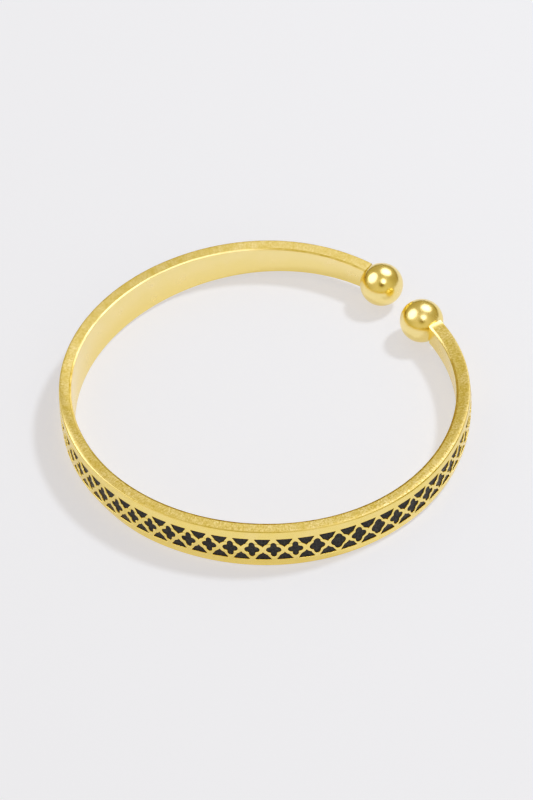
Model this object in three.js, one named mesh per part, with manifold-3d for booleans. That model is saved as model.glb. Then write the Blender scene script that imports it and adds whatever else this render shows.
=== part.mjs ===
// An open cuff bangle lying on its side. Millimetres, +Z up, the opening between its balls faces +Y.
// The origin is at the middle of the bangle's footprint, on the surface that it lies on.
//
// Two sub-parts: the gold cuff, a band with a ball soldered to each end and a shallow channel round its
// outer face, and the black enamel that lies in the channel.

import * as THREE from 'three';
import { mergeVertices } from 'three/addons/utils/BufferGeometryUtils.js';
import ManifoldModule from 'manifold-3d';

// ---- Driving dimensions ----

// The band's outer edge, seen from above, is nearly a circle.
const OUTER_RADIUS = 31;
const OVAL = 0.009; // share of the radius by which it is narrower towards the opening than across it
const BENT = 0.0086; // share of the radius by which hand bending has pushed it out in three places
const PULL = { from: 0.7, left: 0.7, right: 1.8 }; // how far each end is pulled in, and where that starts
const PLAN_CENTRE = { x: -0.265, y: -0.525 }; // puts the middle of the whole footprint at the origin

// The band's section, from the middle of the band (along: 0) to the middle of the opening (along: 1).
const SECTIONS = [
  { along: 0, height: 7.3, thickness: 1.87 },
  { along: 0.25, height: 7.3, thickness: 1.87 },
  { along: 0.5, height: 6.3, thickness: 2.0 },
  { along: 0.75, height: 4.75, thickness: 2.1 },
  { along: 1, height: 3.2, thickness: 2.25 },
];

// Shares of the section's own height and thickness.
const CROWN = 0.09; // how far the outer face stands out between its two edges
const OUTER_EASE = { height: 0.02, depth: 0.08 }; // the two outer edges, slightly eased
const INNER_CHAMFER = { height: 0.04, depth: 0.16 }; // the two inner edges, chamfered for the wrist
const CROWN_FACETS = 4;

// The channel in the outer face and the enamel in it, as shares of the section too.
const CHANNEL = { halfHeight: 0.31, depth: 0.24, reach: 0.79 };
const ENAMEL = { halfHeight: 0.303, under: 0.21, face: -0.02, reach: 0.788 };

// A ball stands off each square-cut end of the band on a short soldered neck. Turn is the ball's angle
// from the middle of the band.
const BALL_RADIUS = 3.37;
const BALL_INSET = 0.32; // its centre lies inside the band's own centre line
const BALL_LIFT = 0.15; // and above the band's mid-height
const LEFT_BALL_TURN = -(Math.PI - 0.178);
const RIGHT_BALL_TURN = Math.PI - 0.171;
const BAND_STOP = 3.2; // from a ball's centre back to the end of the band
const NECK = { halfHeight: 0.36, outer: 0.35, inner: 0.95 }; // shares of the band's section
const NECK_ROOT = 0.5; // how far the neck is let into the end of the band

// Facets
const STATIONS = 144; // round the whole ring
const BALL_FACETS = { round: 32, tall: 20 };

const MID_HEIGHT = SECTIONS[0].height / 2;

// ---- The line and the section of the band ----

// Rise per unit of `along` at a row of SECTIONS: the harmonic mean of the rises on its two sides, so that
// the curve through the rows keeps a level stretch level and never overshoots.
function slopeAt(row, key) {
  const rise = (i) =>
    (SECTIONS[i + 1][key] - SECTIONS[i][key]) / (SECTIONS[i + 1].along - SECTIONS[i].along);
  if (row === 0) return rise(0);
  if (row === SECTIONS.length - 1) return rise(row - 1);
  const before = rise(row - 1);
  const after = rise(row);
  return before * after > 0 ? (2 * before * after) / (before + after) : 0;
}

// Height or thickness of the band at a share of the way from its middle to the opening.
function sectionSize(along, key) {
  const last = SECTIONS.length - 2;
  const row = Math.min(last, SECTIONS.findLastIndex((s) => s.along <= along));
  const [from, to] = [SECTIONS[row], SECTIONS[row + 1]];
  const span = to.along - from.along;
  const t = (along - from.along) / span;
  return (
    from[key] * (1 + 2 * t) * (1 - t) ** 2 +
    to[key] * t * t * (3 - 2 * t) +
    span * (slopeAt(row, key) * t * (1 - t) ** 2 - slopeAt(row + 1, key) * t * t * (1 - t))
  );
}

// Radius of the outer edge at an angle from the middle of the band, positive towards +X.
function outerRadius(turn) {
  const along = Math.abs(turn) / Math.PI;
  const nearEnd = Math.max(0, (along - PULL.from) / (1 - PULL.from));
  const pull = (turn > 0 ? PULL.right : PULL.left) * nearEnd ** 2;
  return OUTER_RADIUS * (1 - OVAL * Math.cos(2 * turn) - BENT * Math.sin(3 * turn)) - pull;
}

function edgePoint(turn) {
  const r = outerRadius(turn);
  return new THREE.Vector2(r * Math.sin(turn), -r * Math.cos(turn));
}

// A point of the band: out is the distance outwards from the outer edge, up the height above mid-height.
function bandPoint(turn, out, up) {
  const step = 1e-4;
  const ahead = edgePoint(turn + step).sub(edgePoint(turn - step)).normalize();
  const edge = edgePoint(turn);
  return new THREE.Vector3(
    PLAN_CENTRE.x + edge.x + ahead.y * out,
    PLAN_CENTRE.y + edge.y - ahead.x * out,
    MID_HEIGHT + up,
  );
}

// How far the outer face stands out, as a share of the thickness, at a share of the height.
function crownAt(height) {
  const edge = 0.5 - OUTER_EASE.height;
  return CROWN * (1 - (height / edge) ** 2);
}

function crownLine(top, bottom, below = 0) {
  const line = [];
  for (let i = 0; i <= CROWN_FACETS; i++) {
    const height = top + ((bottom - top) * i) / CROWN_FACETS;
    line.push(new THREE.Vector2(height, crownAt(height) + below));
  }
  return line;
}

// Sections are shapes in shares: x is the height from mid-height, y the distance out from the outer edge.
function bandSection() {
  const edge = 0.5 - OUTER_EASE.height;
  const inner = 0.5 - INNER_CHAMFER.height;
  return new THREE.Shape([
    new THREE.Vector2(0.5, -OUTER_EASE.depth),
    ...crownLine(edge, -edge),
    new THREE.Vector2(-0.5, -OUTER_EASE.depth),
    new THREE.Vector2(-0.5, INNER_CHAMFER.depth - 1),
    new THREE.Vector2(-inner, -1),
    new THREE.Vector2(inner, -1),
    new THREE.Vector2(0.5, INNER_CHAMFER.depth - 1),
  ]);
}

function channelSection() {
  const { halfHeight, depth } = CHANNEL;
  return new THREE.Shape([
    new THREE.Vector2(halfHeight, 2 * CROWN),
    new THREE.Vector2(-halfHeight, 2 * CROWN),
    new THREE.Vector2(-halfHeight, -depth),
    new THREE.Vector2(halfHeight, -depth),
  ]);
}

function enamelSection() {
  const { halfHeight, under, face } = ENAMEL;
  return new THREE.Shape([
    ...crownLine(halfHeight, -halfHeight, face - CROWN),
    new THREE.Vector2(-halfHeight, -under),
    new THREE.Vector2(halfHeight, -under),
  ]);
}

function neckSection() {
  const { halfHeight, outer, inner } = NECK;
  return new THREE.Shape([
    new THREE.Vector2(halfHeight, -outer),
    new THREE.Vector2(-halfHeight, -outer),
    new THREE.Vector2(-halfHeight, -inner),
    new THREE.Vector2(halfHeight, -inner),
  ]);
}

// A section swept along the band from one turn to another, scaled to the band's size on the way.
function sweep(section, fromTurn, toTurn) {
  const steps = Math.round((STATIONS * (toTurn - fromTurn)) / (2 * Math.PI));
  const bar = new THREE.ExtrudeGeometry(section, { depth: 1, steps, bevelEnabled: false });
  const position = bar.getAttribute('position');
  for (let i = 0; i < position.count; i++) {
    const turn = fromTurn + (toTurn - fromTurn) * position.getZ(i);
    const along = Math.abs(turn) / Math.PI;
    const up = position.getX(i) * sectionSize(along, 'height');
    const out = position.getY(i) * sectionSize(along, 'thickness');
    position.setXYZ(i, ...bandPoint(turn, out, up));
  }
  return bar;
}

function ballGeometry(turn) {
  const ball = new THREE.SphereGeometry(BALL_RADIUS, BALL_FACETS.round, BALL_FACETS.tall);
  const half = sectionSize(Math.abs(turn) / Math.PI, 'thickness') / 2;
  const centre = bandPoint(turn, -half - BALL_INSET, BALL_LIFT);
  return ball.rotateX(Math.PI / 2).translate(centre.x, centre.y, centre.z);
}

// ---- Joining and cutting ----

const wasm = await ManifoldModule();
wasm.setup();

function solid(geometry) {
  const bare = geometry.clone();
  bare.deleteAttribute('normal');
  bare.deleteAttribute('uv');
  const merged = mergeVertices(bare);
  const mesh = new wasm.Mesh({
    numProp: 3,
    vertProperties: new Float32Array(merged.getAttribute('position').array),
    triVerts: new Uint32Array(merged.getIndex().array),
  });
  return new wasm.Manifold(mesh);
}

function geometryOf(manifold) {
  const { vertProperties, triVerts } = manifold.getMesh();
  const geometry = new THREE.BufferGeometry();
  geometry.setAttribute('position', new THREE.BufferAttribute(vertProperties, 3));
  geometry.setIndex(new THREE.BufferAttribute(triVerts, 1));
  geometry.computeVertexNormals();
  return geometry;
}

// ---- The two sub-parts ----

const gold = new THREE.MeshStandardMaterial({ color: 0xd9b94f, roughness: 0.25, metalness: 1 });
const blackEnamel = new THREE.MeshStandardMaterial({ color: 0x26272a, roughness: 0.4, metalness: 0 });

function makeCuff() {
  const stop = BAND_STOP / OUTER_RADIUS;
  const root = stop + NECK_ROOT / OUTER_RADIUS;
  const channelEnd = CHANNEL.reach * Math.PI;
  const channel = solid(sweep(channelSection(), -channelEnd, channelEnd));
  const cuff = solid(sweep(bandSection(), LEFT_BALL_TURN + stop, RIGHT_BALL_TURN - stop))
    .subtract(channel)
    .add(solid(sweep(neckSection(), LEFT_BALL_TURN, LEFT_BALL_TURN + root)))
    .add(solid(sweep(neckSection(), RIGHT_BALL_TURN - root, RIGHT_BALL_TURN)))
    .add(solid(ballGeometry(LEFT_BALL_TURN)))
    .add(solid(ballGeometry(RIGHT_BALL_TURN)));
  const mesh = new THREE.Mesh(geometryOf(cuff), gold);
  mesh.name = 'cuff';
  return mesh;
}

function makeEnamel() {
  const end = ENAMEL.reach * Math.PI;
  const mesh = new THREE.Mesh(sweep(enamelSection(), -end, end), blackEnamel);
  mesh.name = 'enamel_inlay';
  return mesh;
}

const bangle = new THREE.Group();
bangle.name = 'bangle';
bangle.add(makeCuff(), makeEnamel());

export default bangle;
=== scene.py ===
"""Looks of the open cuff bangle: the gold band with its quatrefoil lattice, the two balls and the enamel.

Lengths are millimetres, as in the part's own source, and mesh data is in metres. A turn is an angle round
the bangle, in radians from the middle of the band, and a length runs along its outer edge from there.
Camera, lights and floor are in metres.
"""

import math

import bmesh
import bpy
import numpy as np
from mathutils import Matrix, Vector
from mathutils.geometry import delaunay_2d_cdt


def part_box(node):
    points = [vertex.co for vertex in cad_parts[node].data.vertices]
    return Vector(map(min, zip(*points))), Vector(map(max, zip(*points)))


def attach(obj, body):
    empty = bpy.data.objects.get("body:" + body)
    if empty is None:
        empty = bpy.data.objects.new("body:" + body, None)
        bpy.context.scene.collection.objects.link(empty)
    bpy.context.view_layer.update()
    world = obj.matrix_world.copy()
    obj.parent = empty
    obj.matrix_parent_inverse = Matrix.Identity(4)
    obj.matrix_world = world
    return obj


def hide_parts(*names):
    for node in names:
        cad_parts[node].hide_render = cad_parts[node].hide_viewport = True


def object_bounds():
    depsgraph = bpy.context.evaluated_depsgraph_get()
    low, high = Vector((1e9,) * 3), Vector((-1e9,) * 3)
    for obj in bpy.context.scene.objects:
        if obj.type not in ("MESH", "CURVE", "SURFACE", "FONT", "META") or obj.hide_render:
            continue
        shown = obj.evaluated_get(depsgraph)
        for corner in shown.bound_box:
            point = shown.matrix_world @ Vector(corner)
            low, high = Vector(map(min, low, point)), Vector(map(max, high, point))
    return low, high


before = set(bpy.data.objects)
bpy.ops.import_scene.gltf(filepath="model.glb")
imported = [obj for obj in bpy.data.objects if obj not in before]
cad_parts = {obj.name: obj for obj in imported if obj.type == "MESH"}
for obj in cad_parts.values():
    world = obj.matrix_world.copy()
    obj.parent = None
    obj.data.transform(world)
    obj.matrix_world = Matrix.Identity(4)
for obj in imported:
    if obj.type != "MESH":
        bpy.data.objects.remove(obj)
CAD_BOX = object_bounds()

MM = 0.001
RANDOM = np.random.default_rng(7)


# ---- Helpers ----

def distances(points):
    """How far each point lies along a line of points."""
    return np.concatenate([[0.0], np.cumsum(np.linalg.norm(np.diff(points, axis=0), axis=1))])


def ease(value, start, stop):
    """0 up to start, 1 from stop on, smooth between."""
    t = np.clip((value - start) / (stop - start), 0, 1)
    return t * t * (3 - 2 * t)


def hump(value, middle, reach):
    """1 at the middle, falling smoothly to 0 at the reach on both sides."""
    t = np.clip(1 - np.abs(value - middle) / reach, 0, 1)
    return t * t * (3 - 2 * t)


def between(pair, share):
    return pair[0] + (pair[1] - pair[0]) * share


def add_object(name, data):
    made = bpy.data.objects.new(name, data)
    bpy.context.scene.collection.objects.link(made)
    return made


# ---- The band's line, as the part has it ----

OUTER_RADIUS = 31.0
OVAL, BENT = 0.009, 0.0086  # shares of the radius
PULL_FROM = 0.7  # share of the way to the opening from which the ends are pulled in
PULL_LEFT, PULL_RIGHT = 0.7, 1.8

# share of the way to the opening, height, thickness
SECTIONS = np.array([
    (0.00, 7.30, 1.87),
    (0.25, 7.30, 1.87),
    (0.50, 6.30, 2.00),
    (0.75, 4.75, 2.10),
    (1.00, 3.20, 2.25),
])
HEIGHT, THICKNESS = 1, 2  # columns of the table
FULL_HEIGHT, FULL_THICKNESS = SECTIONS[0, 1:]

CROWN = 0.09  # of the thickness: how far the outer face stands out at mid-height
CROWN_EDGE = 0.48  # of the height: where it no longer stands out
CHANNEL_HALF = 0.31  # of the height: the node's outer face is cut away from here inwards

BALL_RADIUS = 3.37
BALL_INSET = 0.32
BALL_LIFT = 0.15
LEFT_BALL_TURN = -(math.pi - 0.178)
RIGHT_BALL_TURN = math.pi - 0.171
BAND_STOP = 3.2  # from the end of the band to the middle of the ball, along the line

TURN_STEP = 1e-4
CENTRE_TURNS = 2001


def section_slopes(column):
    """Slopes at the sections for a smooth curve through them that never swings past them."""
    rises = np.diff(SECTIONS[:, column]) / np.diff(SECTIONS[:, 0])
    before, after = rises[:-1], rises[1:]
    same_way = before * after > 0
    total = np.where(same_way, before + after, 1.0)
    inner = np.where(same_way, 2 * before * after / total, 0.0)
    return np.concatenate([rises[:1], inner, rises[-1:]])


def section_size(turn, column):
    """Height or thickness of the band at a turn."""
    along = np.abs(turn) / math.pi
    slopes = section_slopes(column)
    row = np.clip(np.searchsorted(SECTIONS[:, 0], along, side="right") - 1, 0, len(SECTIONS) - 2)
    span = SECTIONS[row + 1, 0] - SECTIONS[row, 0]
    t = (along - SECTIONS[row, 0]) / span
    return (
        SECTIONS[row, column] * (1 + 2 * t) * (1 - t) ** 2
        + SECTIONS[row + 1, column] * t * t * (3 - 2 * t)
        + span * (slopes[row] * t * (1 - t) ** 2 - slopes[row + 1] * t * t * (1 - t))
    )


def edge_line(turn):
    """The outer edge seen from above, from the line's own centre."""
    along = np.abs(turn) / math.pi
    near_end = np.clip((along - PULL_FROM) / (1 - PULL_FROM), 0, None)
    pull = np.where(turn > 0, PULL_RIGHT, PULL_LEFT) * near_end**2
    radius = OUTER_RADIUS * (1 - OVAL * np.cos(2 * turn) - BENT * np.sin(3 * turn)) - pull
    return np.stack([radius * np.sin(turn), -radius * np.cos(turn)], -1)


def crown_at(height):
    """How far the outer face stands out, as a share of the thickness, at a share of the height."""
    return CROWN * (1 - (height / CROWN_EDGE) ** 2)


def plan_points(turn, out, centre):
    """Points seen from above, out from the outer edge, with the line's own centre at the given one."""
    ahead = edge_line(turn + TURN_STEP) - edge_line(turn - TURN_STEP)
    ahead /= np.linalg.norm(ahead, axis=-1, keepdims=True)
    edge = edge_line(turn)
    return np.stack([
        centre[0] + edge[..., 0] + ahead[..., 1] * out,
        centre[1] + edge[..., 1] - ahead[..., 0] * out,
    ], -1)


def plan_centre():
    """Where the line's own centre lies in the frame: the edge of the channel has the CAD node's box."""
    low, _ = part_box("cuff")
    turns = np.linspace(LEFT_BALL_TURN, RIGHT_BALL_TURN, CENTRE_TURNS)
    channel_edge = crown_at(CHANNEL_HALF) * section_size(turns, THICKNESS)
    left, front = plan_points(turns, channel_edge, (0.0, 0.0)).min(axis=0)
    return low.x / MM - left, low.y / MM - front


PLAN_CENTRE = plan_centre()


def band_points(turn, out, up):
    """Points of the band in the frame: out from the outer edge, up from mid-height."""
    turn = np.asarray(turn, float)
    plan = plan_points(turn, np.broadcast_to(out, turn.shape), PLAN_CENTRE)
    return np.stack([plan[..., 0], plan[..., 1], FULL_HEIGHT / 2 + np.broadcast_to(up, turn.shape)], -1)


TABLE_TURNS = np.linspace(-math.pi, math.pi, 8001)
TABLE_LENGTHS = distances(edge_line(TABLE_TURNS))
TABLE_LENGTHS -= np.interp(0.0, TABLE_TURNS, TABLE_LENGTHS)


def turn_at(length):
    return np.interp(length, TABLE_LENGTHS, TABLE_TURNS)


def length_at(turn):
    return np.interp(turn, TABLE_TURNS, TABLE_LENGTHS)


# ---- The lattice: outlines of its openings, on the full-height band ----

PITCH = 3.18
CELLS_EACH_WAY = 24
LATTICE_REACH = CELLS_EACH_WAY * PITCH
OUTLINE_STEP = 0.11

# The lattice was cut finer on one side. Each pair is the size up to the first of these cells, then the size
# from the second one on.
FINE_FROM, FINE_TO = 8, 12
LATTICE_HALF = (2.17, 2.32)  # from mid-height to the flat side of the three-sided openings

# A quatrefoil is four oval lobes, two lying and two standing. Lengths and widths are halves.
LYING_OFFSET, LYING_LENGTH, LYING_WIDTH = (0.55, 0.56), (0.57, 0.62), (0.56, 0.62)
STANDING_OFFSET, STANDING_LENGTH, STANDING_WIDTH = (0.90, 0.99), (0.63, 0.74), (0.42, 0.48)
LOBE_BLEND = 10  # the higher, the sharper the corner between two lobes
LOBE_POINTS = 240
PLAIN_OVAL = (1.10, 1.62)

# The gold line between the openings follows the lobes at these distances from the lobes' middles.
ROUND_LYING, ROUND_STANDING = (1.17, 1.15), (0.96, 0.86)
LYING_SWEEP, LYING_STEPS = 1.2, 60
LEAVE_ANGLE = math.radians(152)  # where the line leaves the standing lobe and runs straight to the border
STANDING_STEPS = 8
POINT_HEIGHT = 0.47  # of the three-sided opening's point, above the crossing
BASE_HALF = (1.25, 1.29)

# Cells whose quatrefoil came out plumper: how far each is on the way to a plain oval.
PLUMP_CELLS = {10: 0.25, 11: 0.5, 12: 0.2, 13: 0.45}
PLUMP_MOST = 0.15  # in the other cells

QUATREFOIL_SOFTEN, QUATREFOIL_WOBBLE = 3, 0.012
CROSSING_SOFTEN, CROSSING_WOBBLE = 1, 0.006
WOBBLE_WAVES = (1, 2, 3, 5)


def fineness(cell):
    return ease(cell, FINE_FROM, FINE_TO)


def ray_to_ellipse(direction, centre, radii):
    """Distance from the middle to the far side of an ellipse, for unit directions; 0 where it is missed."""
    d = direction / radii
    c = np.asarray(centre) / radii
    a = (d * d).sum(-1)
    b = (d * c).sum(-1)
    gap = b * b - a * ((c * c).sum() - 1)
    return np.where(gap > 0, np.clip(b + np.sqrt(np.clip(gap, 0, None)), 0, None) / a, 0.0)


def quatrefoil(fine, plump):
    angle = np.linspace(0, 2 * math.pi, LOBE_POINTS, endpoint=False)
    direction = np.stack([np.cos(angle), np.sin(angle)], -1)
    lying_radii = between(LYING_LENGTH, fine), between(LYING_WIDTH, fine)
    standing_radii = between(STANDING_WIDTH, fine), between(STANDING_LENGTH, fine)
    total = np.zeros(LOBE_POINTS)
    for sign in (1, -1):
        lying_at = (sign * between(LYING_OFFSET, fine), 0)
        standing_at = (0, sign * between(STANDING_OFFSET, fine))
        total += ray_to_ellipse(direction, lying_at, lying_radii) ** LOBE_BLEND
        total += ray_to_ellipse(direction, standing_at, standing_radii) ** LOBE_BLEND
    reach = total ** (1 / LOBE_BLEND)
    oval = 1 / np.linalg.norm(direction / PLAIN_OVAL, axis=1)
    return direction * (reach * (1 - plump) + oval * plump)[:, None]


def crossing_opening(fine):
    """The three-sided opening above a crossing, which is at the origin, counter-clockwise."""
    lying_x = PITCH / 2 - between(LYING_OFFSET, fine)
    lying_round = between(ROUND_LYING, fine)
    standing = np.array([PITCH / 2, between(STANDING_OFFSET, fine)])
    standing_round = between(ROUND_STANDING, fine)
    start = math.pi - math.asin(POINT_HEIGHT / lying_round)
    side = []
    for angle in np.linspace(start, start - LYING_SWEEP, LYING_STEPS):
        point = np.array([lying_x + lying_round * math.cos(angle), lying_round * math.sin(angle)])
        if np.linalg.norm(point - standing) < standing_round:
            break
        side.append(point)
    shoulder = side[-1] - standing
    first = math.atan2(shoulder[1], shoulder[0])
    for angle in np.linspace(first, LEAVE_ANGLE, STANDING_STEPS)[1:]:
        side.append(standing + standing_round * np.array([math.cos(angle), math.sin(angle)]))
    side.append(np.array([between(BASE_HALF, fine), between(LATTICE_HALF, fine)]))
    side = np.array(side)
    return np.vstack([side, side[:0:-1] * (-1, 1)])


def even_loop(points, soften):
    """The same closed outline with points at an even spacing and its corners softened."""
    closed = np.vstack([points, points[:1]])
    lengths = distances(closed)
    count = int(round(lengths[-1] / OUTLINE_STEP))
    at = np.linspace(0, lengths[-1], count, endpoint=False)
    loop = np.stack([np.interp(at, lengths, closed[:, i]) for i in (0, 1)], -1)
    for _ in range(soften):
        loop = (np.roll(loop, 1, 0) + 2 * loop + np.roll(loop, -1, 0)) / 4
    return loop


def hand_cut(loop, wobble):
    """A loop with the small unevenness of hand work."""
    centre = loop.mean(0)
    angle = np.arctan2(loop[:, 1] - centre[1], loop[:, 0] - centre[0])
    swell = 1 + RANDOM.normal(0, wobble)
    for waves in WOBBLE_WAVES:
        swell = swell + RANDOM.normal(0, wobble) * np.cos(waves * angle + RANDOM.uniform(0, 2 * math.pi))
    return centre + (loop - centre) * swell[:, None]


def lattice_openings():
    """All openings of the lattice, as counter-clockwise loops of (length along, height)."""
    openings = []
    for cell in range(-CELLS_EACH_WAY, CELLS_EACH_WAY):
        plump = PLUMP_CELLS.get(cell, RANDOM.uniform(0, PLUMP_MOST))
        loop = even_loop(quatrefoil(fineness(cell), plump), QUATREFOIL_SOFTEN)
        openings.append(hand_cut(loop, QUATREFOIL_WOBBLE) + ((cell + 0.5) * PITCH, 0))
    for crossing in range(-CELLS_EACH_WAY + 1, CELLS_EACH_WAY):
        at = (crossing * PITCH, 0)
        upper = even_loop(crossing_opening(fineness(crossing - 0.5)), CROSSING_SOFTEN)
        openings.append(hand_cut(upper, CROSSING_WOBBLE) + at)
        openings.append(hand_cut(upper, CROSSING_WOBBLE)[::-1] * (1, -1) + at)
    return openings


# ---- Mesh building ----

WELD = 0.004  # points nearer than this become one
SMOOTH_ANGLE = math.radians(40)


class Shell:
    """Points and faces of one piece, with what the materials need to know at each point."""

    def __init__(self):
        self.points, self.faces, self.satin, self.uv = [], [], [], []
        self.count = 0

    def add(self, points, satin, uv):
        """Adds points, and returns their numbers. uv is the length along and the place across."""
        points = np.asarray(points, float).reshape(-1, 3)
        self.points.append(points)
        self.satin.append(np.broadcast_to(satin, len(points)))
        self.uv.append(np.asarray(uv, float).reshape(-1, 2))
        numbers = np.arange(self.count, self.count + len(points))
        self.count += len(points)
        return numbers

    def quads(self, grid, close_rows=False, flip=False):
        """Faces between the rows of a grid of point numbers."""
        if close_rows:
            grid = np.hstack([grid, grid[:, :1]])
        a, b, c, d = grid[:-1, :-1], grid[:-1, 1:], grid[1:, 1:], grid[1:, :-1]
        loops = np.stack([a, d, c, b] if flip else [a, b, c, d], -1).reshape(-1, 4)
        self.faces.extend(loops.tolist())

    def build(self, name):
        mesh = bpy.data.meshes.new(name)
        points = np.vstack(self.points) * MM
        mesh.from_pydata(points.tolist(), [], self.faces)
        satin = mesh.attributes.new("satin", "FLOAT", "POINT")
        satin.data.foreach_set("value", np.concatenate(self.satin).astype(np.float32))
        layer = mesh.uv_layers.new(name="band")
        corners = np.empty(len(mesh.loops), np.int32)
        mesh.loops.foreach_get("vertex_index", corners)
        layer.data.foreach_set("uv", (np.vstack(self.uv) * MM)[corners].astype(np.float32).ravel())
        work = bmesh.new()
        work.from_mesh(mesh)
        bmesh.ops.remove_doubles(work, verts=work.verts, dist=WELD * MM)
        bmesh.ops.recalc_face_normals(work, faces=work.faces)
        work.to_mesh(mesh)
        work.free()
        mesh.validate()
        return add_object(name, mesh)


def smooth(piece):
    """Shades the piece smooth, apart from its sharp edges."""
    for polygon in piece.data.polygons:
        polygon.use_smooth = True
    piece.data.set_sharp_from_angle(angle=SMOOTH_ANGLE)


# ---- The cuff's section, at full size ----

ROUND_STEPS = 5
FLAT_ROWS = 6  # rows across each flat stretch
OUTER_ROUND = 0.20
OUTER_MARGIN = 0.06  # from the last row of the outer face to its rounded edge
OUTER_SLOPE_OUT = 0.1  # the outer face meets its edge in line with a point this far out, at LATTICE_ROW
CHAMFER_RISE, CHAMFER_RUN = 0.08, 0.27
CHAMFER_ROUND, INNER_ROUND = 0.14, 0.05
ON_INSIDE = -0.999  # rows with an out share below this lie on the inside

LATTICE_ROW = 2.45  # the structured rows of the outer face begin here, above and below the lattice
LATTICE_ROWS = np.linspace(-LATTICE_ROW, LATTICE_ROW, 12)


def rounded_corner(before, corner, after, radius):
    """Points of an arc that replaces a corner of an outline."""
    corner = np.asarray(corner, float)
    to_before = np.asarray(before) - corner
    to_after = np.asarray(after) - corner
    to_before /= np.linalg.norm(to_before)
    to_after /= np.linalg.norm(to_after)
    half = math.acos(np.clip(to_before @ to_after, -1, 1)) / 2
    middle = (to_before + to_after) / np.linalg.norm(to_before + to_after)
    centre = corner + middle * radius / math.sin(half)
    start = corner + to_before * radius / math.tan(half) - centre
    end = corner + to_after * radius / math.tan(half) - centre
    turn = math.atan2(start[0] * end[1] - start[1] * end[0], start @ end)
    arc = []
    for angle in np.linspace(0, turn, ROUND_STEPS + 1):
        c, s = math.cos(angle), math.sin(angle)
        arc.append(centre + (c * start[0] - s * start[1], s * start[0] + c * start[1]))
    return arc


def satin_arc(arc, satin_ends):
    """Rows of an arc, with satin that goes from one value to another along it."""
    shares = np.linspace(0, 1, len(arc))
    return [(point[0], point[1], between(satin_ends, share)) for share, point in zip(shares, arc)]


def band_profile():
    """The section from the lattice's upper row over the top, down inside and back to its lower row.

    Rows of (height share, out share, satin): the outer face, the satin edge face, the chamfer, the inside.
    """
    top, inside = FULL_HEIGHT / 2, -FULL_THICKNESS
    chamfer_top, chamfer_foot = (top, inside + CHAMFER_RUN), (top - CHAMFER_RISE, inside)
    outer_arc = rounded_corner((LATTICE_ROW, OUTER_SLOPE_OUT), (top, 0.0), (top, inside), OUTER_ROUND)
    top_arc = rounded_corner((top, 0.0), chamfer_top, chamfer_foot, CHAMFER_ROUND)
    foot_arc = rounded_corner(chamfer_top, chamfer_foot, (0.0, inside), INNER_ROUND)
    rows = []
    for height in np.linspace(LATTICE_ROW, top - OUTER_ROUND - OUTER_MARGIN, FLAT_ROWS):
        rows.append((height, crown_at(height / FULL_HEIGHT) * FULL_THICKNESS, 0.0))
    rows += satin_arc(outer_arc, (0.0, 1.0))
    for share in np.linspace(0, 1, FLAT_ROWS)[1:-1]:
        rows.append((top, between((outer_arc[-1][1], top_arc[0][1]), share), 1.0))
    rows += satin_arc(top_arc, (1.0, 0.5))
    rows += satin_arc(foot_arc, (0.5, 0.0))
    for height in np.linspace(foot_arc[-1][0], 0, FLAT_ROWS)[1:-1]:
        rows.append((height, inside, 0.0))
    rows = np.array(rows)
    lower = rows[::-1] * (-1, 1, 1)
    profile = np.vstack([rows, [[0.0, inside, 0.0]], lower])
    profile[:, 0] /= FULL_HEIGHT
    profile[:, 1] /= FULL_THICKNESS
    return profile


PROFILE = band_profile()


def around_profile(profile):
    """Distance round the full-size section at each row, for the grain of the metal."""
    return distances(profile[:, :2] * (FULL_HEIGHT, FULL_THICKNESS))


def edge_distances():
    """Distances round the section of the upper satin face's outer edge and the inside's upper edge."""
    along = around_profile(PROFILE)
    return along[np.argmax(PROFILE[:, 2] == 1.0)], along[np.argmax(PROFILE[:, 1] < ON_INSIDE)]


# ---- Marks of hand work ----

# Where the outer edges are rubbed rounder, as (length along, reach).
RUB_ROWS = (0.36, 0.5)  # shares of the height
RUB_REACH, TOP_RUB_REACH = 0.95, 1.3
TOP_RUB, TOP_RUB_PLACE = 0.33, (-12.0, 15.0)
RIGHT_RUB, RIGHT_RUB_PLACE, RIGHT_RUB_REACH = 0.14, (55.0, 26.0), 0.62
BOTTOM_RUB, BOTTOM_RUB_PLACE = 0.34, (-6.0, 14.0)

# The filed inner edge drops unevenly: length along, extra drop.
FILED_DROPS = np.array([
    (-98, 0.2), (-92, 0.18), (-88, -0.05), (-82, -0.05), (-78, -0.01), (-70, 0.0), (-67, -0.05), (-64, 0.0),
    (-55, -0.02), (-51, -0.05), (-48, 0.0), (-40, 0.0), (-38.5, -0.06), (-37, -0.06), (-36, -0.01),
    (-34, -0.03), (-32.5, -0.06), (-28, -0.055), (-27, -0.01), (-26, -0.06), (-24.3, -0.06), (-23.4, -0.01),
    (-22.5, -0.06), (-10, 0.0), (0, 0.04), (60, 0.04), (76, 0.06), (84, 0.2), (98, 0.2),
])

# The upper edge face isn't quite level across: length along, tilt in degrees (positive faces inwards).
FACE_TILTS = np.array([
    (-98, 0.0), (-84, 1.5), (-68, 2.5), (-56, -0.5), (-40, 3.0), (-27, 7.0), (-19, 6.5), (-12, 0.5),
    (4, -1.0), (20, 0.0), (28, 2.0), (44, 4.0), (56, 4.0), (70, 10.0), (84, 6.0), (98, 0.0),
])

# The solder lifts the edge face at the right end, and fills the seam at the left ball.
END_LIFT, END_LIFT_REACH = 0.18, 1.1
LEFT_STOP = BAND_STOP - 0.3

# Where the marks have polished the satin away, as (none of it, all of it).
RUB_POLISH = (0.5, 0.9)  # nearness to the outer edge
SOLDER_POLISH = (0.05, 0.3)  # share of the solder's lift
FILED_POLISH = (-30, -5)  # length along, on the filed inner edge


def band_ends():
    """Lengths of the band's left and right ends."""
    left, right = LEFT_STOP / OUTER_RADIUS, BAND_STOP / OUTER_RADIUS
    return length_at(LEFT_BALL_TURN + left), length_at(RIGHT_BALL_TURN - right)


def near_right_end(length):
    stop = band_ends()[1]
    return ease(length, stop - END_LIFT_REACH, stop)


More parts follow.
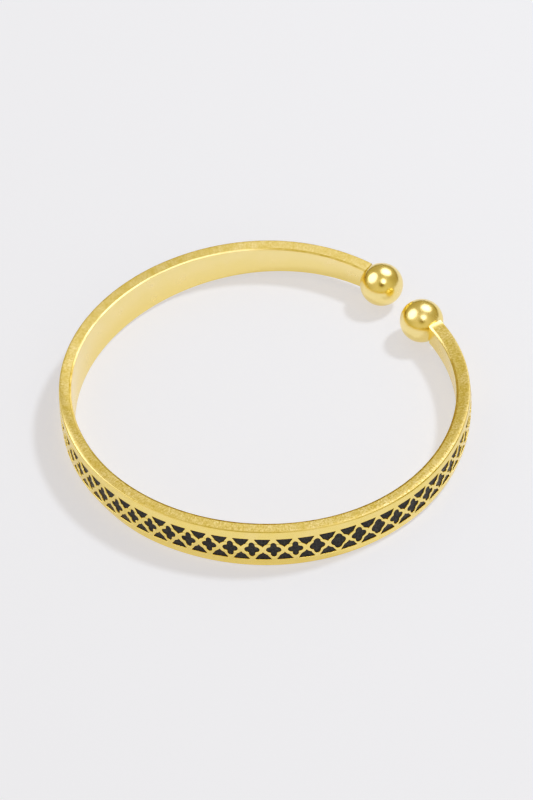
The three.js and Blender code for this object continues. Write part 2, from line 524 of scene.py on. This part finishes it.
def place(length, height_share, out_share):
    """Points of the band from its length and shares of its section, with the marks of hand work."""
    turn = turn_at(length)
    tall, thick = section_size(turn, HEIGHT), section_size(turn, THICKNESS)
    up, out = height_share * tall, out_share * thick
    near_top = ease(height_share, *RUB_ROWS)
    near_top_edge = np.clip(1 + out / TOP_RUB_REACH, 0, 1)
    up = up - near_top * TOP_RUB * hump(length, *TOP_RUB_PLACE) * near_top_edge**2
    near_right_edge = np.clip(1 + out / RIGHT_RUB_REACH, 0, 1)
    up = up - near_top * RIGHT_RUB * hump(length, *RIGHT_RUB_PLACE) * near_right_edge**2
    near_inside = np.clip(1 - (out + thick) / CHAMFER_RUN, 0, 1)
    up = up - near_top * np.interp(length, FILED_DROPS[:, 0], FILED_DROPS[:, 1]) * near_inside
    up = up + near_top * END_LIFT * near_right_end(length)
    tilt = np.interp(length, FACE_TILTS[:, 0], FACE_TILTS[:, 1])
    up = up + near_top * np.radians(tilt) * (out + thick / 2)
    near_bottom = ease(-height_share, *RUB_ROWS)
    near_outside = np.clip(1 + out / RUB_REACH, 0, 1)
    out = out - near_bottom * BOTTOM_RUB * hump(length, *BOTTOM_RUB_PLACE) * near_outside
    return band_points(turn, out, up)


def polished_away(length, profile):
    """How far the marks have polished the satin away, at each row of the profile."""
    near_outside = np.clip(1 + profile[:, 1] * FULL_THICKNESS / TOP_RUB_REACH, 0, 1)
    on_top = profile[:, 0] > 0
    rubbed = hump(length, *TOP_RUB_PLACE) * ease(near_outside, *RUB_POLISH) * on_top
    rubbed = np.maximum(rubbed, ease(near_right_end(length), *SOLDER_POLISH))
    filed = (profile[:, 1] < -0.5) & (profile[:, 2] < 1)
    return np.where(filed, np.maximum(rubbed, ease(length, *FILED_POLISH)), rubbed)


# ---- The cuff ----

STATIONS_PER_CELL = 10
STATION = PITCH / STATIONS_PER_CELL
LATTICE_STATIONS = np.linspace(-LATTICE_REACH, LATTICE_REACH, 2 * CELLS_EACH_WAY * STATIONS_PER_CELL + 1)
LIP = 0.07  # how far the rounded lip of an opening reaches
LIP_STEPS = 3
POCKET_FLOOR = 0.30  # under the outer face
END_BEVEL = 0.2
SECTION_MIDDLE = np.array([0.0, -0.5])  # height share, out share

INSIDE_WITH_HOLES = 2  # what the triangulation keeps
SAME_POINT = 1e-6


def outer_face(length, height, under=0.0):
    """Points of the outer face from lengths and heights of the full-size band, sunk by `under`."""
    share = height / FULL_HEIGHT
    return place(length, share, crown_at(share) - under / FULL_THICKNESS)


def grown(loop, distance):
    """The loop moved outwards by a distance (inwards if negative), along its own normals."""
    ahead = np.roll(loop, -1, 0) - np.roll(loop, 1, 0)
    normal = np.stack([ahead[:, 1], -ahead[:, 0]], -1)
    normal /= np.linalg.norm(normal, axis=1, keepdims=True)
    return loop + normal * distance


def add_pocket(shell, loop):
    """The rounded lip, wall and floor of one opening. Returns the loop of the lip's outer edge."""
    rings, unders = [], []
    for step in range(LIP_STEPS + 1):
        angle = math.pi / 2 * step / LIP_STEPS
        rings.append(grown(loop, LIP * (1 - math.sin(angle))))
        unders.append(LIP * (1 - math.cos(angle)))
    rings.append(loop)
    unders.append(POCKET_FLOOR)
    numbers = []
    for ring, under in zip(rings, unders):
        points = outer_face(ring[:, 0], ring[:, 1], under)
        numbers.append(shell.add(points, 0.0, ring))
    shell.quads(np.array(numbers), close_rows=True, flip=True)
    shell.faces.append(numbers[-1].tolist())
    return rings[0]


def add_lattice_face(shell, lips):
    """The gold between the openings, from the lattice's lower row to its upper row."""
    border = [(x, -LATTICE_ROW) for x in LATTICE_STATIONS]
    border += [(LATTICE_REACH, y) for y in LATTICE_ROWS[1:-1]]
    border += [(x, LATTICE_ROW) for x in LATTICE_STATIONS[::-1]]
    border += [(-LATTICE_REACH, y) for y in LATTICE_ROWS[-2:0:-1]]
    points = [Vector(p) for p in border]
    loops = [list(range(len(border)))]
    for lip in lips:
        first = len(points)
        points.extend(Vector(p) for p in lip)
        loops.append(list(range(first, first + len(lip)))[::-1])
    verts, _, faces, *_ = delaunay_2d_cdt(points, [], loops, INSIDE_WITH_HOLES, SAME_POINT)
    flat = np.array([tuple(v) for v in verts])
    numbers = shell.add(outer_face(flat[:, 0], flat[:, 1]), 0.0, flat)
    shell.faces.extend([int(numbers[i]) for i in face] for face in faces)


def station_rings(shell, lengths, profile):
    """One ring of the profile at each length along the band."""
    around = around_profile(profile)
    rings = []
    for length in lengths:
        along = np.full(len(profile), length)
        points = place(along, profile[:, 0], profile[:, 1])
        satin = profile[:, 2] * (1 - polished_away(length, profile))
        rings.append(shell.add(points, satin, np.stack([along, around], -1)))
    return np.array(rings)


def full_profile():
    """The closed section of the plain stretches: PROFILE and the rows across the outer face."""
    rows = LATTICE_ROWS[1:-1] / FULL_HEIGHT
    middle = np.stack([rows, crown_at(rows), np.zeros(len(rows))], -1)
    return np.vstack([PROFILE, middle])


def add_plain_end(shell, start, stop):
    """The plain stretch from the end of the lattice to the bevelled, square-cut end of the band."""
    profile = full_profile()
    way = math.copysign(1.0, stop - start)
    count = int(round(abs(stop - start) / STATION))
    rings = station_rings(shell, np.linspace(start, stop - way * END_BEVEL, count), profile)
    shell.quads(rings, close_rows=True)
    turn = turn_at(stop)
    size = np.array([section_size(turn, HEIGHT), section_size(turn, THICKNESS)])
    cut = profile.copy()
    cut[:, :2] = SECTION_MIDDLE + (profile[:, :2] - SECTION_MIDDLE) * (1 - 2 * END_BEVEL / size)
    cut[:, 2] = 0.0
    along = around_profile(profile)
    points = place(np.full(len(cut), stop), cut[:, 0], cut[:, 1])
    end = shell.add(points, 0.0, np.stack([np.full(len(cut), stop), along], -1))
    shell.quads(np.vstack([rings[-1:], [end]]), close_rows=True)
    shell.faces.append(end.tolist())


def make_band(openings):
    shell = Shell()
    lips = [add_pocket(shell, loop) for loop in openings]
    add_lattice_face(shell, lips)
    shell.quads(station_rings(shell, LATTICE_STATIONS, PROFILE))
    left, right = band_ends()
    add_plain_end(shell, -LATTICE_REACH, left)
    add_plain_end(shell, LATTICE_REACH, right)
    return shell.build("cuff_gold")


# ---- The balls and their soldered necks ----

BALL_ROUND, BALL_TALL = 96, 64
NECK_HALF_HEIGHT, NECK_OUTER, NECK_INNER = 0.44, 0.12, 0.97  # shares of the band's section
NECK_ROUND = 0.12
NECK_ROOT = 0.5  # how far it reaches into the band
NECK_RINGS = 10


def make_ball(name, turn):
    half = section_size(turn, THICKNESS) / 2
    centre = band_points(turn, -half - BALL_INSET, BALL_LIFT)
    mesh = bpy.data.meshes.new(name)
    work = bmesh.new()
    bmesh.ops.create_uvsphere(work, u_segments=BALL_ROUND, v_segments=BALL_TALL, radius=BALL_RADIUS * MM)
    bmesh.ops.translate(work, verts=work.verts, vec=Vector(centre * MM))
    work.to_mesh(mesh)
    work.free()
    return add_object(name, mesh)


def make_neck(name, ball_turn, side):
    """A round-cornered bar from inside the end of the band to the middle of the ball."""
    shell = Shell()
    root = side * (BAND_STOP + NECK_ROOT) / OUTER_RADIUS
    corners = [(NECK_HALF_HEIGHT, -NECK_OUTER), (NECK_HALF_HEIGHT, -NECK_INNER),
               (-NECK_HALF_HEIGHT, -NECK_INNER), (-NECK_HALF_HEIGHT, -NECK_OUTER)]
    loop = []
    for i in range(len(corners)):
        loop += rounded_corner(corners[i - 1], corners[i], corners[(i + 1) % len(corners)], NECK_ROUND)
    loop = np.array(loop)
    rings = []
    for turn in np.linspace(ball_turn, ball_turn - root, NECK_RINGS):
        points = place(np.full(len(loop), length_at(turn)), loop[:, 0], loop[:, 1])
        rings.append(shell.add(points, 0.0, loop))
    shell.quads(np.array(rings), close_rows=True)
    shell.faces.append(rings[0].tolist())
    shell.faces.append(rings[-1].tolist())
    return shell.build(name)


def join_solids(body, others):
    """Makes one solid of the body and the others, which are removed."""
    for other in others:
        union = body.modifiers.new("union", "BOOLEAN")
        union.operation = "UNION"
        union.solver = "MANIFOLD"
        union.object = other
    depsgraph = bpy.context.evaluated_depsgraph_get()
    joined = bpy.data.meshes.new_from_object(body.evaluated_get(depsgraph), depsgraph=depsgraph)
    body.modifiers.clear()
    body.data = joined
    for other in others:
        bpy.data.objects.remove(other)


def make_cuff(openings):
    band = make_band(openings)
    parts = []
    for name, turn, side in (("left", LEFT_BALL_TURN, -1), ("right", RIGHT_BALL_TURN, 1)):
        parts.append(make_neck("neck_" + name, turn, side))
        parts.append(make_ball("ball_" + name, turn))
    join_solids(band, parts)
    smooth(band)
    return band


# ---- The enamel: one closed pool in each opening ----

ENAMEL_UNDER = 0.13  # its edge under the outer face
ENAMEL_DISH = 0.05
ENAMEL_REST = 0.02  # how far it reaches into the gold, so that no gap shows
# share of the way to the middle, share of the dish
ENAMEL_RINGS = [(0.0, 0.0), (0.12, 0.45), (0.30, 0.8), (0.55, 1.0)]


def make_enamel(openings):
    shell = Shell()
    for loop in openings:
        outer = grown(loop, ENAMEL_REST)
        centre = loop.mean(0)
        bottom = outer_face(outer[:, 0], outer[:, 1], POCKET_FLOOR + ENAMEL_REST)
        rings = [shell.add(bottom, 0.0, outer)]
        for inwards, dish in ENAMEL_RINGS:
            ring = centre + (outer - centre) * (1 - inwards)
            points = outer_face(ring[:, 0], ring[:, 1], ENAMEL_UNDER + ENAMEL_DISH * dish)
            rings.append(shell.add(points, 0.0, ring))
        shell.quads(np.array(rings), close_rows=True)
        shell.faces.append(rings[0].tolist())
        shell.faces.append(rings[-1].tolist())
    enamel = shell.build("enamel_pools")
    smooth(enamel)
    return enamel


# ---- Shader nodes ----

def new_material(name):
    material = bpy.data.materials.new(name)
    material.use_nodes = True
    tree = material.node_tree
    return material, tree, tree.nodes["Principled BSDF"]


def node(tree, kind, inputs=None, **settings):
    made = tree.nodes.new(kind)
    for key, value in settings.items():
        setattr(made, key, value)
    for key, value in (inputs or {}).items():
        if isinstance(value, bpy.types.NodeSocket):
            tree.links.new(value, made.inputs[key])
        else:
            made.inputs[key].default_value = value
    return made


def noise(tree, coordinates, kind):
    scale, detail, roughness = kind
    made = node(tree, "ShaderNodeTexNoise", {"Vector": coordinates, "Scale": scale, "Detail": detail,
                                             "Roughness": roughness})
    return made.outputs["Fac"]


def ramp(tree, value, low, high, to_low=0.0, to_high=1.0):
    made = node(tree, "ShaderNodeMapRange", {"Value": value, "From Min": low, "From Max": high,
                                             "To Min": to_low, "To Max": to_high})
    return made.outputs["Result"]


def mix_number(tree, share, first, second):
    made = node(tree, "ShaderNodeMix", {0: share, 2: first, 3: second}, data_type="FLOAT")
    return made.outputs[0]


def mix_colour(tree, share, first, second):
    made = node(tree, "ShaderNodeMix", {0: share, 6: first, 7: second}, data_type="RGBA")
    return made.outputs[2]


def maths(tree, operation, *values):
    return node(tree, "ShaderNodeMath", dict(enumerate(values)), operation=operation).outputs["Value"]


def vector_maths(tree, operation, *values):
    return node(tree, "ShaderNodeVectorMath", dict(enumerate(values)), operation=operation).outputs


def multiply(tree, *values):
    product = values[0]
    for value in values[1:]:
        product = maths(tree, "MULTIPLY", product, value)
    return product


def split(tree, vector):
    return node(tree, "ShaderNodeSeparateXYZ", {"Vector": vector}).outputs


def object_place(tree):
    return node(tree, "ShaderNodeTexCoord").outputs["Object"]


# ---- Gold ----

# Colours, where two are the ends of a soft mottling.
# Painted reflection: the outer wall and the balls' outer sides get a warmer, deeper gold than the inner
# wall, for the shaded floor they reflect.
PAINTED_REFLECTION_OUTER_GOLD = (0.97, 0.765, 0.29, 1), (0.99, 0.79, 0.34, 1)
INNER_GOLD = (0.975, 0.80, 0.375, 1), (1.0, 0.82, 0.415, 1)
# Painted shade: the foot of the inner wall is painted darker and more orange, for the contact shadow it
# reflects.
PAINTED_SHADE_INNER_GOLD = (0.95, 0.76, 0.32, 1)
SATIN_GOLD = (0.84, 0.69, 0.32, 1), (0.97, 0.835, 0.48, 1)
DARK_GRAIN = (0.55, 0.405, 0.115, 1)
# Painted shade: the brown of the dark lines along the satin face's edges.
EDGE_SHADE_BROWN = (0.46, 0.315, 0.08, 1)

# Noises: scale, detail, roughness.
STROKES = (3900, 3, 0.7)
GRAIN = (3500, 3, 0.7)
PATCHES = (620, 3, 0.6)
CLOUD = (380, 2, 0.5)
WAVE = (330, 1, 0.3)

STROKE_SCALE = (1.0, 0.4, 1.0)  # stretches the strokes across the edge faces
GRAIN_IN_STROKES = 0.55
# Painted shade: the foot of the inner wall darkens below these heights.
INNER_SHADE_HEIGHTS = (1 * MM, 5 * MM)  # heights between which the inner wall gets paler
OUTWARDS = (0.3, 0.8)  # how far a face has to look outwards to count as outer wall

# The part of a noise's range that is used, and where two more numbers follow, what it becomes.
CLOUD_RANGE, PATCH_RANGE, GRAIN_RANGE = (0.3, 0.7), (0.35, 0.65), (0.37, 0.61)
POLISHED_ROUGHNESS = (0.3, 0.7, 0.22, 0.28)
SATIN_ROUGHNESS = (0.36, 0.64, 0.52, 0.40)
INNER_BREAKS = (0.38, 0.58, 0.55, 1.0)
OUTER_BREAKS = (0.42, 0.55, 0.1, 0.8)

# The grain calms down along the left side: (from length, to length, share there, share there).
CALM = (-12 * MM, -38 * MM, 0.2, 0.65)
CALM_GRAIN = 0.62  # the even mix that the grain's colours calm down to
POLISHED_DEPTH, SATIN_DEPTH, CALM_DEPTH = 0.03 * MM, 0.06 * MM, 0.02 * MM

# Painted shade: brown lines along the edges of the upper satin face, standing in for the dark reflections
# there:
# half their width, then (length, strength) where each begins, dips, recovers and ends.
INNER_SHADE_LINE = (0.21, ((-91.0, 0.0), (-87.0, 0.8), (-73.0, 0.8), (-68.0, 0.0), (-29.0, 0.0), (-26.0, 1.0),
                     (-19.0, 1.0), (-12.0, 0.3), (6.0, 0.3), (20.0, 1.0), (80.0, 0.3)))
OUTER_SHADE_LINE = (0.09, ((-4.0, 0.0), (6.0, 0.9), (30.0, 0.9), (40.0, 0.4), (60.0, 0.4), (75.0, 0.0)))
LINE_CORE = 0.6  # of the half width: full strength inside it
LINE_FADE = 0.1  # length in which a line stops at its ends


def facing_out(tree):
    """1 on the outer wall and the balls' outer sides, 0 on the inner wall."""
    geometry = node(tree, "ShaderNodeNewGeometry")
    flat = vector_maths(tree, "MULTIPLY", geometry.outputs["Position"], (1.0, 1.0, 0.0))["Vector"]
    outwards = vector_maths(tree, "NORMALIZE", flat)["Vector"]
    facing = vector_maths(tree, "DOT_PRODUCT", outwards, geometry.outputs["Normal"])["Value"]
    return ramp(tree, facing, *OUTWARDS)


def strength_along(tree, length, strengths):
    """A strength that goes straight from each (length, strength) to the next, and is 0 past both ends."""
    start, stop = strengths[0][0], strengths[-1][0]
    curve = node(tree, "ShaderNodeFloatCurve", {"Value": ramp(tree, length, start * MM, stop * MM)})
    points = curve.mapping.curves[0].points
    for at, strength in strengths[1:-1]:
        points.new((at - start) / (stop - start), strength)
    points[0].location = (0.0, strengths[0][1])
    points[-1].location = (1.0, strengths[-1][1])
    for point in points:
        point.handle_type = "VECTOR"
    curve.mapping.update()
    after_start = ramp(tree, length, (start - LINE_FADE) * MM, start * MM)
    before_stop = ramp(tree, length, (stop + LINE_FADE) * MM, stop * MM)
    return multiply(tree, curve.outputs["Value"], after_start, before_stop)


def painted_edge_shade(tree, band_place, middle, line):
    """Painted edge shade for a line whose middle is at a distance round the section."""
    half, strengths = line
    away = maths(tree, "ABSOLUTE", maths(tree, "SUBTRACT", band_place["Y"], middle * MM))
    on_line = ramp(tree, away, half * MM, half * LINE_CORE * MM)
    return multiply(tree, on_line, strength_along(tree, band_place["X"], strengths))


def polished_colour(tree, place_at, cloud):
    mottle = ramp(tree, cloud, *CLOUD_RANGE)
    # Painted shade at the foot of the inner wall, fading out upwards.
    above_shade = ramp(tree, split(tree, place_at)["Z"], *INNER_SHADE_HEIGHTS)
    inner = mix_colour(tree, above_shade, PAINTED_SHADE_INNER_GOLD, mix_colour(tree, mottle, *INNER_GOLD))
    # Painted reflection: a warmer gold where the surface faces outwards.
    return mix_colour(tree, facing_out(tree), inner, mix_colour(tree, mottle, *PAINTED_REFLECTION_OUTER_GOLD))


def satin_colour(tree, patches, grain, calm):
    mottled = mix_colour(tree, ramp(tree, patches, *PATCH_RANGE), *SATIN_GOLD)
    share = mix_number(tree, calm, ramp(tree, grain, *GRAIN_RANGE), CALM_GRAIN)
    return mix_colour(tree, share, DARK_GRAIN, mottled)


def gold_material():
    """Gold plate: softly polished, with grainy satin edge faces, where the satin attribute is 1."""
    material, tree, shader = new_material("gold_plate")
    satin = node(tree, "ShaderNodeAttribute", attribute_name="satin").outputs["Fac"]
    place_at = object_place(tree)
    band_at = node(tree, "ShaderNodeUVMap", uv_map="band").outputs["UV"]
    band_place = split(tree, band_at)
    strokes_at = node(tree, "ShaderNodeMapping", {"Vector": band_at, "Scale": STROKE_SCALE})
    strokes = noise(tree, strokes_at.outputs["Vector"], STROKES)
    grain = mix_number(tree, GRAIN_IN_STROKES, strokes, noise(tree, place_at, GRAIN))
    patches = noise(tree, place_at, PATCHES)
    cloud = noise(tree, place_at, CLOUD)
    calm = ramp(tree, band_place["X"], *CALM)

    outer_edge, inner_edge = edge_distances()
    # Painted shade: brown lines along the satin face's edges stand in for the dark reflections there.
    inner_line = painted_edge_shade(tree, band_place, inner_edge - INNER_SHADE_LINE[0], INNER_SHADE_LINE)
    outer_line = painted_edge_shade(tree, band_place, outer_edge - OUTER_SHADE_LINE[0], OUTER_SHADE_LINE)
    inner_edge_shade = multiply(tree, inner_line, ramp(tree, patches, *INNER_BREAKS))
    outer_edge_shade = multiply(tree, outer_line, ramp(tree, grain, *OUTER_BREAKS))
    painted_shade_share = maths(tree, "MAXIMUM", inner_edge_shade, outer_edge_shade)
    polished = polished_colour(tree, place_at, cloud)
    metal = mix_colour(tree, satin, polished, satin_colour(tree, patches, grain, calm))
    tree.links.new(mix_colour(tree, painted_shade_share, metal, EDGE_SHADE_BROWN), shader.inputs["Base Color"])

    shader.inputs["Metallic"].default_value = 1.0
    smooth_rough = ramp(tree, cloud, *POLISHED_ROUGHNESS)
    satin_rough = ramp(tree, grain, *SATIN_ROUGHNESS)
    tree.links.new(mix_number(tree, satin, smooth_rough, satin_rough), shader.inputs["Roughness"])
    height = mix_number(tree, satin, noise(tree, place_at, WAVE), grain)
    depth = mix_number(tree, satin, POLISHED_DEPTH, mix_number(tree, calm, SATIN_DEPTH, CALM_DEPTH))
    relief = node(tree, "ShaderNodeBump", {"Height": height, "Distance": depth, "Strength": 1.0})
    tree.links.new(relief.outputs["Normal"], shader.inputs["Normal"])
    return material


# ---- Enamel ----

ENAMEL_COLOURS = (0.040, 0.040, 0.041, 1), (0.125, 0.126, 0.130, 1)
ENAMEL_SPECK = (3600, 3, 0.7)
ENAMEL_CLOUD = (700, 2, 0.5)
ENAMEL_SPECK_RANGE = (0.36, 0.66)
ENAMEL_ROUGHNESS = (0.3, 0.7, 0.28, 0.42)
ENAMEL_DEPTH = 0.004 * MM


def enamel_material():
    """Charcoal enamel with a fine paler speckle and a soft gloss."""
    material, tree, shader = new_material("black_enamel")
    place_at = object_place(tree)
    speck = noise(tree, place_at, ENAMEL_SPECK)
    cloud = noise(tree, place_at, ENAMEL_CLOUD)
    colour = mix_colour(tree, ramp(tree, speck, *ENAMEL_SPECK_RANGE), *ENAMEL_COLOURS)
    tree.links.new(colour, shader.inputs["Base Color"])
    tree.links.new(ramp(tree, cloud, *ENAMEL_ROUGHNESS), shader.inputs["Roughness"])
    relief = node(tree, "ShaderNodeBump", {"Height": speck, "Distance": ENAMEL_DEPTH, "Strength": 1.0})
    tree.links.new(relief.outputs["Normal"], shader.inputs["Normal"])
    return material


# ---- Camera ----

VIEW_AZIMUTH, VIEW_ELEVATION = math.radians(51.45), math.radians(46.50)
VIEW_DISTANCE = 0.5264
VIEW_ROLL = math.radians(-3.95)
VIEW_AIM = Vector((-0.00218, 0.00094, 0.0))  # from the middle of the footprint
LENS, SENSOR = 155.3, 36.0
CLIP_START, CLIP_END = 0.01, 20


def direction(azimuth, elevation):
    flat = math.cos(elevation)
    return Vector((math.sin(azimuth) * flat, -math.cos(azimuth) * flat, math.sin(elevation)))


def look_back(thing, towards, distance, aim=Vector((0.0, 0.0, 0.0)), roll=0.0):
    """Puts a camera or lamp at a distance from the aim, looking back at it."""
    turn = towards.to_track_quat("Z", "Y").to_matrix().to_4x4()
    thing.matrix_world = Matrix.Translation(aim + towards * distance) @ turn @ Matrix.Rotation(roll, 4, "Z")


def make_camera():
    camera = add_object("camera", bpy.data.cameras.new("camera"))
    camera.data.lens = LENS
    camera.data.sensor_width = SENSOR
    camera.data.clip_start, camera.data.clip_end = CLIP_START, CLIP_END
    look_back(camera, direction(VIEW_AZIMUTH, VIEW_ELEVATION), VIEW_DISTANCE, VIEW_AIM, VIEW_ROLL)
    bpy.context.scene.camera = camera


# ---- Light ----

LIGHT_DISTANCE = 0.9
WHITE = (1.0, 1.0, 1.0)
COOL = (0.90, 0.98, 1.10)  # the shadows it leaves are warm

# Name, degrees round from the camera's azimuth, degrees up, size, radiance.
REFLECTED_LIGHTS = [
    ("key", 138.7, 53, 0.68, 2.25),
    ("left", -99.5, 46, 0.8, 1.75),
    ("small", 22, 60, 0.38, 2.5),
]
SHADING_LIGHT = ("key_shade", 114, 57, 0.13, 60.0)

ROOM_COLOUR = (0.46, 0.41, 0.305, 1)
FRONT_COLOUR = (0.70, 0.63, 0.46, 1)
DARK_COLOUR = (0.14, 0.11, 0.07, 1)
FRONT_ELEVATION = math.radians(15)

# Cosines of the angle to a direction, or rises above the horizon, between which the room changes.
FRONT_SPAN = (0.2, 0.85)
BEHIND_SPAN = (0.0, -0.3)
LOW_SPAN = (0.16, 0.09)
VIEWER_SPAN = (0.94, 0.98)


def make_softbox(name, side, up, size, radiance, reflected, colour=WHITE):
    """A round soft light. A reflected one only shows in reflections, and any other only shades."""
    light = bpy.data.lights.new(name, "AREA")
    light.shape = "DISK"
    light.size = size
    light.color = colour
    light.energy = radiance * math.pi * math.pi * size * size / 4
    lamp = add_object(name, light)
    look_back(lamp, direction(VIEW_AZIMUTH + math.radians(side), math.radians(up)), LIGHT_DISTANCE)
    lamp.visible_glossy = reflected
    lamp.visible_diffuse = not reflected


def make_lights():
    for light in REFLECTED_LIGHTS:
        make_softbox(*light, reflected=True)
    make_softbox(*SHADING_LIGHT, reflected=False, colour=COOL)


def make_world():
    """A dim warm room, lighter in front, and dark low down behind and where the viewer stands."""
    world = bpy.data.worlds.new("studio")
    world.use_nodes = True
    tree = world.node_tree
    towards = node(tree, "ShaderNodeTexCoord").outputs["Generated"]
    front, viewer = direction(VIEW_AZIMUTH, FRONT_ELEVATION), direction(VIEW_AZIMUTH, VIEW_ELEVATION)
    to_front = vector_maths(tree, "DOT_PRODUCT", towards, front)["Value"]
    to_viewer = vector_maths(tree, "DOT_PRODUCT", towards, viewer)["Value"]
    room = mix_colour(tree, ramp(tree, to_front, *FRONT_SPAN), ROOM_COLOUR, FRONT_COLOUR)
    low = ramp(tree, split(tree, towards)["Z"], *LOW_SPAN)
    horizon = multiply(tree, low, ramp(tree, to_front, *BEHIND_SPAN))
    dark = maths(tree, "MAXIMUM", horizon, ramp(tree, to_viewer, *VIEWER_SPAN))
    tree.links.new(mix_colour(tree, dark, room, DARK_COLOUR), tree.nodes["Background"].inputs["Color"])
    bpy.context.scene.world = world


# ---- Floor and tone ----

FLOOR_HALF = 1.5
FLOOR_GAP = 0.02 * MM  # between the floor and the part
FLOOR_COLOUR = (0.62, 0.62, 0.622, 1)
FLOOR_ROUGHNESS = 0.9
FLOOR_GLOW, FLOOR_GLOW_COLOUR = 0.41, (0.965, 1.0, 1.17, 1)

# The picture's tone: brightness before, brightness after.
TONE = [(0.0, 0.0), (0.11, 0.045), (0.18, 0.12), (0.28, 0.24), (0.4, 0.39), (1.0, 1.0)]
COMBINED_CURVE = 3


def floor_material():
    """A lit table top: it glows a little by itself, so that the shadow on it stays pale."""
    material, _, shader = new_material("pale_floor")
    shader.inputs["Base Color"].default_value = FLOOR_COLOUR
    shader.inputs["Roughness"].default_value = FLOOR_ROUGHNESS
    shader.inputs["Specular IOR Level"].default_value = 0.0
    shader.inputs["Emission Color"].default_value = FLOOR_GLOW_COLOUR
    shader.inputs["Emission Strength"].default_value = FLOOR_GLOW
    return material


def make_floor():
    corners = [(-FLOOR_HALF, -FLOOR_HALF, 0), (FLOOR_HALF, -FLOOR_HALF, 0),
               (FLOOR_HALF, FLOOR_HALF, 0), (-FLOOR_HALF, FLOOR_HALF, 0)]
    mesh = bpy.data.meshes.new("floor")
    mesh.from_pydata(corners, [], [(0, 1, 2, 3)])
    mesh.materials.append(floor_material())
    floor = add_object("floor", mesh)
    floor.location.z = CAD_BOX[0][2] - FLOOR_GAP


def set_tone():
    """The plain view with deeper shadows, which also deepens the gold's colour there."""
    view = bpy.context.scene.view_settings
    view.view_transform = "Standard"
    view.use_curve_mapping = True
    curve = view.curve_mapping.curves[COMBINED_CURVE]
    curve.points[0].location, curve.points[-1].location = TONE[0], TONE[-1]
    for point in TONE[1:-1]:
        curve.points.new(*point)
    view.curve_mapping.update()


# ---- Putting it together ----

make_camera()
make_lights()
make_world()
make_floor()

openings = lattice_openings()
cuff = make_cuff(openings)
cuff.data.materials.clear()
cuff.data.materials.append(gold_material())
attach(cuff, "root")
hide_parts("cuff")

enamel = make_enamel(openings)
enamel.data.materials.append(enamel_material())
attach(enamel, "root")
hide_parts("enamel_inlay")

set_tone()
